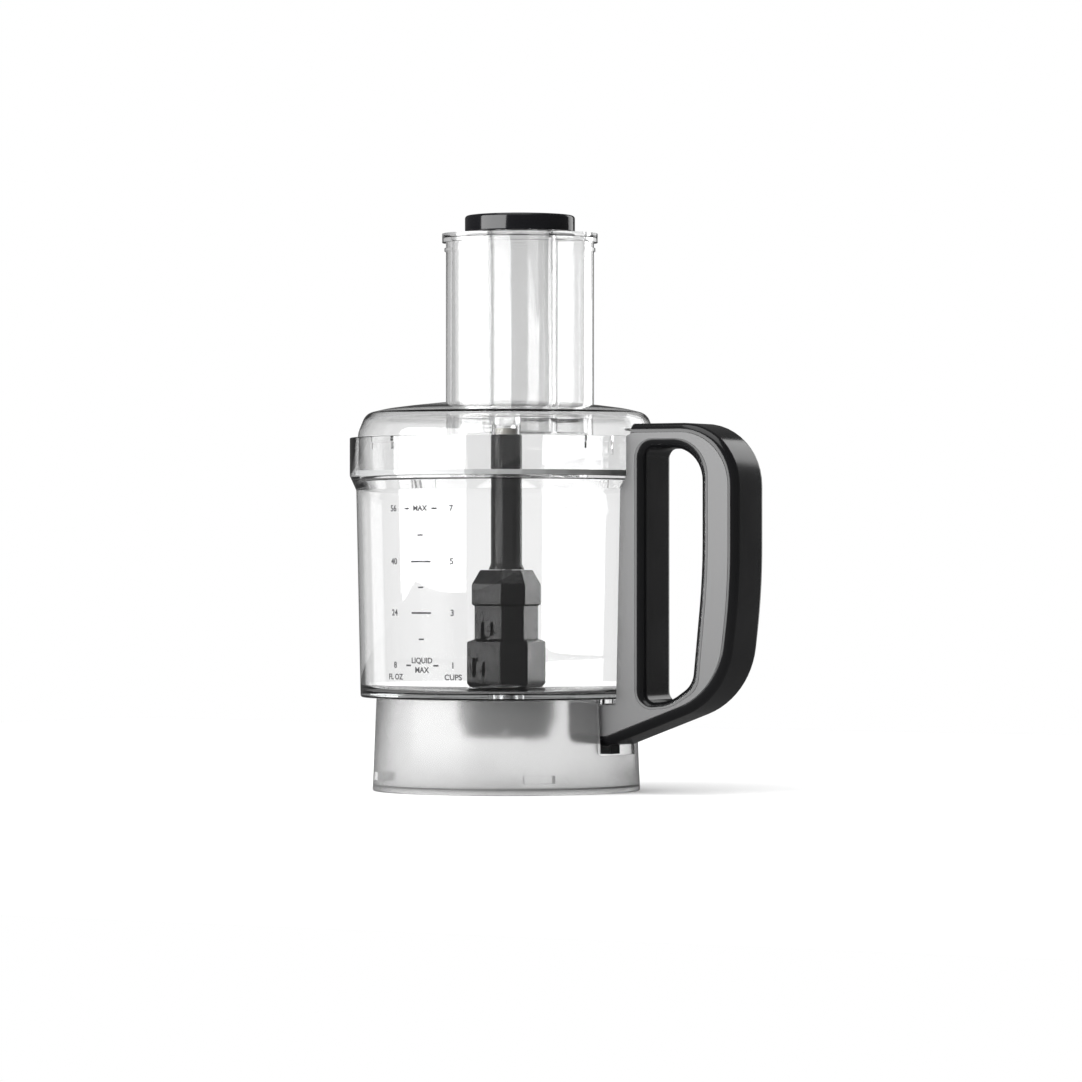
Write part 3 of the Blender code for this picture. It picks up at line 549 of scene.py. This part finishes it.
def make_pushers():
    centre = (CHUTE_X, CHUTE_Y)
    inset = -CHUTE_WALL - 2 * GAP
    foot = CHUTE_FOOT + 0.0015
    top = CHUTE_TOP + GAP + RIM_THICK
    large = chute_prism("large_pusher_shell", inset, foot, top - 0.0005)
    rim = soften(chute_prism("pusher_rim", RIM_OUT, CHUTE_TOP + GAP, top), 0.0004)
    large = combine(large, "UNION", rim)
    large = combine(large, "DIFFERENCE", chute_prism("hollow", inset - PUSHER_WALL, foot + 0.002, top + 0.01))
    large = combine(large, "UNION", post("sleeve", 0.0196, foot + 0.0005, top - 0.0008, centre, SMALL))
    large = combine(large, "DIFFERENCE", post("bore", 0.0178, foot - 0.01, top + 0.01, centre, SMALL))
    dress(large, CLEAR_LID, "large_pusher", "clear_plastic", "large_pusher")
    cup = rounded([
        (0, 188.3, 0), (15.4, 188.3, 1.5), (15.4, 292.1, 0.3), (17.2, 292.1, 0.3),
        (17.2, 186.5, 1.2), (0, 186.5, 0),
    ], 4, closed=False)
    small = lathe("small_pusher_cup", cup, SMALL, centre)
    dress(small, CLEAR_LID, "small_pusher", "clear_plastic", "small_pusher")
    cap = rounded([
        (0, 301.0, 0), (29.0, 301.0, 1.6), (29.0, 292.4, 0.5), (0, 292.4, 0),
    ], 6, closed=False)
    shell = lathe("pusher_cap_shell", cap, FINE, centre)
    dress(shell, CAP_BLACK, "small_pusher", "black_plastic", "pusher_cap")


# ---------------------------------------------------------------- handle


def handle_outline(inset):
    """The handle's outer edge in millimetres, from the tail inside the skirt round to the collar."""
    grip = 143.4 - inset
    top = 189.2 - inset
    return rounded([
        (46.0, 24.8 + inset, 1.5), (69.0 - 0.18 * inset, 24.8 + inset, 10),
        (136.5 - 0.91 * inset, 49.6 + 0.73 * inset, 42 - inset), (grip, 104.0, 350),
        (grip, top, 32 - inset), (82.6, top, 0.6), (82.6, 184.0, 0), (74.0, 180.0, 0), (74.0, 45.4, 0),
        (46.0, 45.4, 0.6),
    ], 12)


def finger_gap(grow):
    """The edge of the gap for the fingers, in millimetres."""
    return rounded([
        (89.7 - grow, 176.6 + grow, 5 + grow), (122.4 + grow, 176.6 + grow, 17 + 0.5 * grow),
        (122.4 + grow, 112, 350),
        (116.8 + grow, 56.6 - 0.6 * grow, 12), (104.0 + 0.3 * grow, 47.8 - 0.7 * grow, 20),
        (89.7 - grow, 46.8 - 0.9 * grow, 5 + grow),
    ], 12)


def rounded_levels(outline, radius, steps=8):
    """Sections between the handle's two sides, with the edge rounded."""
    side = []
    for k in range(steps + 1):
        turn = math.pi / 2 * k / steps
        depth = HANDLE_HALF - radius * MM * (1 - math.cos(turn))
        side.append((depth, radius * (1 - math.sin(turn))))
    levels = [(-y, outline(inset)) for y, inset in side]
    return levels + [(y, outline(inset)) for y, inset in reversed(side)]


def bowl_clearance():
    return lathe("clearance", [
        (0, COLLAR_TOP + GAP), (COLLAR_R + GAP, COLLAR_TOP + GAP), (COLLAR_R + GAP, COLLAR_Z - 0.0002),
        (BOWL_SHOULDER_R + GAP, BOWL_SHOULDER_Z - 0.0003), (BOWL_BASE_R + GAP, BOWL_UNDERSIDE - GAP),
        (0, BOWL_UNDERSIDE - GAP),
    ])


def make_handle():
    body = lofted("handle_shell", rounded_levels(handle_outline, EDGE), True)
    gap_levels = rounded_levels(finger_gap, LIP, 8)
    gap_levels.insert(0, (-HANDLE_HALF - MM, gap_levels[0][1]))
    gap_levels.append((HANDLE_HALF + MM, gap_levels[-1][1]))
    across = (math.radians(90), 0, 0)
    cuts = [
        lofted("gap_cutter", gap_levels, True),
        bowl_clearance(),
        box("tab_slot", (0.0750, -0.0128, 0.1833), (0.0902, 0.03, 0.1873)),
        box("rod_channel", (0.0720, -0.0040, 0.0365), (0.0843, 0.0040, 0.1850)),
        box("head_channel", (0.0780, -0.0045, 0.1745), (0.0843, 0.0130, 0.1850)),
        box("arm_channel", (0.0470, -0.0040, 0.0365), (0.0760, 0.0040, 0.0500)),
        box("leg_hole", (0.0555, -0.0050, 0.0200), (0.0655, 0.0050, 0.0500)),
        post("spring_pocket", 0.0036, 0.0275, 0.0400, (0.0513, 0)),
        post("upper_hole", 0.0015, -0.0120, 0.0160, (0.0798, 0), 24, across, 0.1400),
        post("upper_sink", 0.0029, 0.0112, 0.0160, (0.0798, 0), 24, across, 0.1400),
    ]
    for i, side in enumerate((-1, 1)):
        spot = (0.0600, side * 0.0098)
        cuts.append(post(f"lower_hole_{i}", 0.0017, 0.0240, 0.0480, spot))
        cuts.append(post(f"lower_sink_{i}", 0.0031, 0.0240, 0.0290, spot))
    pocket_edges = [handle_outline(SEAM - 0.25), finger_gap(LIP + 0.05)]
    for i, side in enumerate((-1, 1)):
        low, high = sorted((side * (HANDLE_HALF - 0.0018), side * (HANDLE_HALF + MM)))
        cuts.append(prism(f"cover_pocket_{i}", pocket_edges, low, high, upright=True))
    body = combine(body, "DIFFERENCE", *cuts)
    dress(flattened(body), BLACK, "bowl", "black_plastic", "handle_body")
    for name, side in (("near", -1), ("far", 1)):
        low, high = sorted((side * (HANDLE_HALF - 0.0015), side * HANDLE_HALF))
        edges = [handle_outline(SEAM), finger_gap(LIP + 0.2)]
        cover = soften(prism(f"cover_{name}", edges, low, high, upright=True), 0.0003, 2)
        cuts = [bowl_clearance()]
        if side > 0:
            cuts.append(box("far_tab_slot", (0.0750, -0.0128, 0.1833), (0.0902, 0.03, 0.1873)))
        cover = combine(cover, "DIFFERENCE", *cuts)
        dress(flattened(cover), GREY, "bowl", "grey_plastic", f"handle_cover_{name}")


# ---------------------------------------------------------------- blade and stem


def hub_outline(scale):
    half = [(x * scale, y * scale, 1.2) for x, y in HUB_CORNERS]
    return rounded(half + [(-x, -y, radius) for x, y, radius in half], 6)


def make_hub():
    levels = [
        (52.2, 0.97), (52.5, 1.0), (55.4, 1.128), (55.8, 1.135), (76.9, 1.135), (77.3, 1.12),
        (78.5, 0.935), (78.8, 0.92), (95.9, 0.92), (96.8, 0.995), (97.1, 1.0), (107.0, 1.0),
        (107.6, 0.985), (114.2, 0.78), (114.7, 0.75),
    ]
    hub = lofted("hub_shell", [(height * MM, hub_outline(scale)) for height, scale in levels])
    cuts = [
        post("hub_bore", 0.0095, 0.0500, 0.0930, (0, 0), SMALL),
        post("spindle_hole", 0.0034, 0.0920, 0.1200, (0, 0), 32),
        post("socket", 0.00445, 0.0920, 0.1050, (0, 0), 6),
    ]
    for name, height, degrees in (("lower", 0.0540, -60), ("upper", 0.0722, 120)):
        high = (0.0260, 0.0094, height + 0.0015)
        cuts.append(box(f"{name}_slot", (0.0098, -0.0094, height - GAP), high, degrees))
    windows = ((0.0030, 0.0146, 0.0830, 0.0044), (0.0061, 0.0180, 0.0640, 0.0050))
    for side in (-1, 1):
        for i, (x, outer, height, half) in enumerate(windows):
            low = (side * x - 0.0038, side * outer - 0.0032, height - half)
            high = (side * x + 0.0038, side * outer + 0.0030, height + half)
            cuts.append(box(f"window_{i}_{side}", low, high))
    hub = combine(hub, "DIFFERENCE", *cuts)
    tongues = []
    for side in (-1, 1):
        low = (side * 0.0030 - 0.0017, side * 0.0128 - 0.0015, 0.0806)
        high = (side * 0.0030 + 0.0017, side * 0.0128 + 0.0015, 0.0880)
        tongues.append(box(f"tongue_up_{side}", low, high))
        low = (side * 0.0061 - 0.0017, side * 0.0160 - 0.0016, 0.0580)
        high = (side * 0.0061 + 0.0017, side * 0.0160 + 0.0016, 0.0668)
        tongues.append(box(f"tongue_low_{side}", low, high))
    hub = combine(hub, "UNION", *tongues)
    dress(flattened(hub), DARK, "blade", "dark_plastic", "blade_hub")


def make_stem():
    stem = lathe("stem_tube", rounded([
        (8.1, 167.9, 0.3), (8.1, 118.0, 1.0), (9.4, 114.9, 0.3), (3.4, 114.9, 0), (3.4, 167.9, 0),
    ], 4), SMALL)
    dress(stem, DARK, "blade", "dark_plastic", "stem")
    head = lathe("stem_head_cap", rounded([
        (8.1, 182.0, 0.8), (8.1, 168.2, 0.3), (3.4, 168.2, 0), (3.4, 182.0, 0.2),
    ], 4), SMALL)
    window = box("head_window", (0.0045, -0.0035, 0.1712), (0.0120, 0.0035, 0.1790), -60)
    head = combine(head, "DIFFERENCE", window)
    dress(head, DARK, "blade", "dark_plastic", "stem_head")


def make_blade(name, node, height, degrees):
    """A swept blade, ground thin along its leading edge and serrated near the tip."""
    steps = 60
    mesh = bpy.data.meshes.new(name)
    shape = bmesh.new()
    rows = []
    for k in range(steps + 1):
        share = k / steps
        radius = 0.0130 + 0.0570 * share
        middle = math.radians(degrees) - 0.25 * share * share
        width = 0.0170 * (1 - 0.72 * share ** 1.5)
        half = width / 2 / radius
        tooth = 0.0004 * (0.5 - 0.5 * math.cos(k * math.pi / 2)) if share > 0.35 else 0.0
        edge = middle + half - tooth / radius
        grind = edge - min(0.0045, width * 0.45) / radius
        back = middle - half
        low, high = height, height + 0.0012
        points = [
            (*polar(radius, back), low), (*polar(radius, back), high), (*polar(radius, grind), high),
            (*polar(radius, edge), (low + high) / 2 + 0.0001),
            (*polar(radius, edge), (low + high) / 2 - 0.0001),
            (*polar(radius, grind), low),
        ]
        rows.append([shape.verts.new((x + AXIS_X, y, z)) for x, y, z in points])
    for row, following in zip(rows, rows[1:]):
        for i in range(6):
            j = (i + 1) % 6
            shape.faces.new((row[i], row[j], following[j], following[i]))
    shape.faces.new(rows[0][::-1])
    shape.faces.new(rows[-1])
    bmesh.ops.recalc_face_normals(shape, faces=shape.faces)
    shape.to_mesh(mesh)
    shape.free()
    mesh.shade_smooth()
    mesh.set_sharp_from_angle(angle=math.radians(20))
    dress(add(name, mesh), BLADE_STEEL, "blade", "steel", node)


# ---------------------------------------------------------------- printed scale


def wrapped(obj):
    """Bends a flat print, made in X (along the wall) and Z, round the bowl's wall."""
    for vertex in obj.data.vertices:
        along, out, height = vertex.co.x, vertex.co.y, vertex.co.z
        radius = wall_radius(height) + 0.00012 + out
        turn = math.radians(SCALE_TURN) + along / wall_radius(height)
        vertex.co = (AXIS_X + radius * math.cos(turn), radius * math.sin(turn), height)
    return obj


def flat_print(name, curve, along, height):
    curve.extrude = 0.00004
    obj = add(name, curve)
    obj.location = (along, 0, height)
    obj.rotation_euler = (math.radians(90), 0, 0)
    return wrapped(applied(obj))


def words(name, text, size, along, height):
    font = bpy.data.curves.new(name, "FONT")
    font.body = text
    font.size = size
    font.offset = 0.00009
    font.align_x = "CENTER"
    font.align_y = "CENTER"
    return flat_print(name, font, along, height)


def bar(name, length, thickness, along, height):
    curve = bpy.data.curves.new(name, "CURVE")
    curve.dimensions = "2D"
    curve.fill_mode = "BOTH"
    spline = curve.splines.new("POLY")
    pieces = 12
    top = [(-length / 2 + length * i / pieces, thickness / 2) for i in range(pieces + 1)]
    outline = top + [(x, -y) for x, y in reversed(top)]
    spline.points.add(len(outline) - 1)
    for point, (x, y) in zip(spline.points, outline):
        point.co = (x, y, 0, 1)
    spline.use_cyclic_u = True
    return flat_print(name, curve, along, height)


SCALE_TURN = -94               # direction of the middle of the scale
SCALE_ROWS = [(0.1458, "56", "7"), (0.1188, "40", "5"), (0.0927, "24", "3"), (0.0660, "8", "1")]
COLUMN = 0.0180                # from the ticks to the numbers, along the wall


def make_scale():
    prints = []
    for i, (height, ounces, cups) in enumerate(SCALE_ROWS):
        prints.append(words(f"ounces_{ounces}", ounces, 0.0044, -COLUMN, height))
        prints.append(words(f"cups_{cups}", cups, 0.0044, COLUMN, height))
        if i in (0, 3):
            lines = ["MAX"] if i == 0 else ["LIQUID", "MAX"]
            for k, line in enumerate(lines):
                rise = 0.0024 * (len(lines) - 1 - 2 * k)
                prints.append(words(f"limit_{i}_{line}", line, 0.0040, 0, height + rise))
            for side in (-1, 1):
                prints.append(bar(f"dash_{i}_{side}", 0.0030, 0.0009, side * 0.0085, height))
        else:
            prints.append(bar(f"tick_{i}", 0.0120, 0.0009, 0, height))
        if i < 3:
            middle = (height + SCALE_ROWS[i + 1][0]) / 2
            prints.append(bar(f"half_tick_{i}", 0.0032, 0.0008, 0, middle))
    prints.append(words("ounces_unit", "FL OZ", 0.0040, -COLUMN, 0.0600))
    prints.append(words("cups_unit", "CUPS", 0.0040, COLUMN, 0.0600))
    for obj in prints:
        dress(obj, INK, "bowl", "dark_plastic")


# ---------------------------------------------------------------- carried-over CAD nodes

CARRIED = {
    "gearbox_housing": DARK, "gearbox_cover": DARK, "interlock_rod": DARK, "housing_gasket": RUBBER,
    "shaft_seal": RUBBER, "lid_seal": SILICONE, "ring_gear": NYLON, "planet_gear_1": NYLON,
    "planet_gear_2": NYLON, "planet_gear_3": NYLON, "stem_bearing": NYLON, "output_bearing": BRONZE,
    "input_bush": BRONZE, "upper_bush": BRONZE, "output_shaft": STEEL, "input_shaft": STEEL,
    "drive_coupling": STEEL, "stem_spindle": STEEL, "planet_pin_1": STEEL, "planet_pin_2": STEEL,
    "planet_pin_3": STEEL, "gearbox_screw_1": STEEL, "gearbox_screw_2": STEEL, "gearbox_screw_3": STEEL,
    "handle_screw_lower_1": STEEL, "handle_screw_lower_2": STEEL, "handle_screw_upper": STEEL,
    "interlock_spring": STEEL,
}


def dress_cad():
    for node, material in CARRIED.items():
        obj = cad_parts[node]
        obj.data.materials.clear()
        obj.data.materials.append(material)


# ---------------------------------------------------------------- floor, light and camera

VIEW_TURN = math.radians(30)
CAMERA_AWAY = 2.7
MIRRORED_SKY = 0.10            # brightness of the surroundings in a reflection
MIRRORED_FLOOR = 0.10          # paleness of the floor in a reflection
INNER_SKY = 0.60               # the same for light that has been through clear plastic
SOFT_SKY = 0.90                # and as light that falls on surfaces
FRAME_WIDTH = 0.5626           # width of the picture at the object
EYE_LEVEL = 0.1196
AIM_SIDE = 0.0180              # from the axis to the middle of the picture
AIM_UP = 0.1295
RIGHT = Vector((math.cos(VIEW_TURN), math.sin(VIEW_TURN), 0))
TOWARD = Vector((math.sin(VIEW_TURN), -math.cos(VIEW_TURN), 0))


def aim(obj, target):
    obj.rotation_euler = (Vector(target) - obj.location).to_track_quat("-Z", "Y").to_euler()


def make_camera():
    camera = bpy.data.cameras.new("camera")
    camera.sensor_width = 36
    camera.lens = camera.sensor_width * CAMERA_AWAY / FRAME_WIDTH
    obj = bpy.data.objects.new("camera", camera)
    scene.collection.objects.link(obj)
    camera.shift_y = (AIM_UP - EYE_LEVEL) / FRAME_WIDTH
    target = Vector((AXIS_X, 0, EYE_LEVEL)) + RIGHT * AIM_SIDE
    obj.location = target + TOWARD * CAMERA_AWAY
    aim(obj, target)
    scene.camera = obj


def softbox(name, turn, away, up, width, height, radiance):
    """An area light, placed by its direction right of the camera's, its distance and its height."""
    light = bpy.data.lights.new(name, "AREA")
    light.shape = "RECTANGLE"
    light.size = width
    light.size_y = height
    light.energy = radiance * math.pi * width * height
    obj = bpy.data.objects.new(name, light)
    scene.collection.objects.link(obj)
    around = math.radians(turn) - math.pi / 2 + VIEW_TURN
    obj.location = (away * math.cos(around), away * math.sin(around), up)
    aim(obj, (0, 0, 0.13))


def compared(nodes, links, operation, source):
    """1 where a count is none (LESS_THAN) or at least one (GREATER_THAN), else 0."""
    node = nodes.new("ShaderNodeMath")
    node.operation = operation
    node.inputs[1].default_value = 0.5
    links.new(source, node.inputs[0])
    return node.outputs[0]


def mixed(nodes, links, factor, on, off):
    """A number that is one input where the factor is 1 and the other where it's 0."""
    node = nodes.new("ShaderNodeMix")
    links.new(factor, node.inputs["Factor"])
    node.inputs["A"].default_value = off
    links.new(on, node.inputs["B"])
    return node.outputs["Result"]


def make_stage():
    mesh = bpy.data.meshes.new("floor")
    reach = 0.9
    corners = [(-reach, -reach, 0), (reach, -reach, 0), (reach, reach, 0), (-reach, reach, 0)]
    mesh.from_pydata(corners, [], [(0, 1, 2, 3)])
    floor = bpy.data.objects.new("floor", mesh)
    scene.collection.objects.link(floor)
    material, nodes, links, shader = new_material("floor_paper")
    cloud = noise(nodes, links, 3.0)
    links.new(ranged(nodes, links, cloud, 0.85, 0.95), shader.inputs["Roughness"])
    path = nodes.new("ShaderNodeLightPath")
    mirrored = compared(nodes, links, "GREATER_THAN", path.outputs["Glossy Depth"])
    links.new(ranged(nodes, links, mirrored, 0.93, MIRRORED_FLOOR), shader.inputs["Base Color"])
    shader.inputs["Specular IOR Level"].default_value = 0.1
    mesh.materials.append(material)
    world = bpy.data.worlds.new("studio")
    world.use_nodes = True
    scene.world = world
    nodes = world.node_tree.nodes
    links = world.node_tree.links
    sky = nodes["Background"]
    sky.inputs["Color"].default_value = (1, 1, 1, 1)
    path = nodes.new("ShaderNodeLightPath")
    seen = compared(nodes, links, "LESS_THAN", path.outputs["Diffuse Depth"])
    mirrored = compared(nodes, links, "GREATER_THAN", path.outputs["Glossy Depth"])
    inside = compared(nodes, links, "GREATER_THAN", path.outputs["Transmission Depth"])
    dark = ranged(nodes, links, inside, MIRRORED_SKY, INNER_SKY)
    glow = mixed(nodes, links, mirrored, dark, 1.0)
    links.new(mixed(nodes, links, seen, glow, SOFT_SKY), sky.inputs["Strength"])
    softbox("key", -60, 1.5, 0.35, 1.7, 1.5, 6.0)
    softbox("rim", 137, 1.5, 0.3, 0.62, 1.5, 1.8)
    softbox("top", -20, 0.4, 1.7, 1.5, 1.5, 1.8)
    scene.view_settings.view_transform = "Standard"
    scene.cycles.caustics_refractive = False
    scene.cycles.caustics_reflective = False
    scene.cycles.max_bounces = 24
    scene.cycles.transmission_bounces = 24
    scene.cycles.transparent_max_bounces = 24


make_camera()
make_bowl()
make_skirt()
make_lid()
make_pushers()
make_handle()
make_hub()
make_stem()
make_blade("blade_low", "lower_blade", 0.0540, -60)
make_blade("blade_high", "upper_blade", 0.0722, 120)
make_scale()
dress_cad()
make_stage()
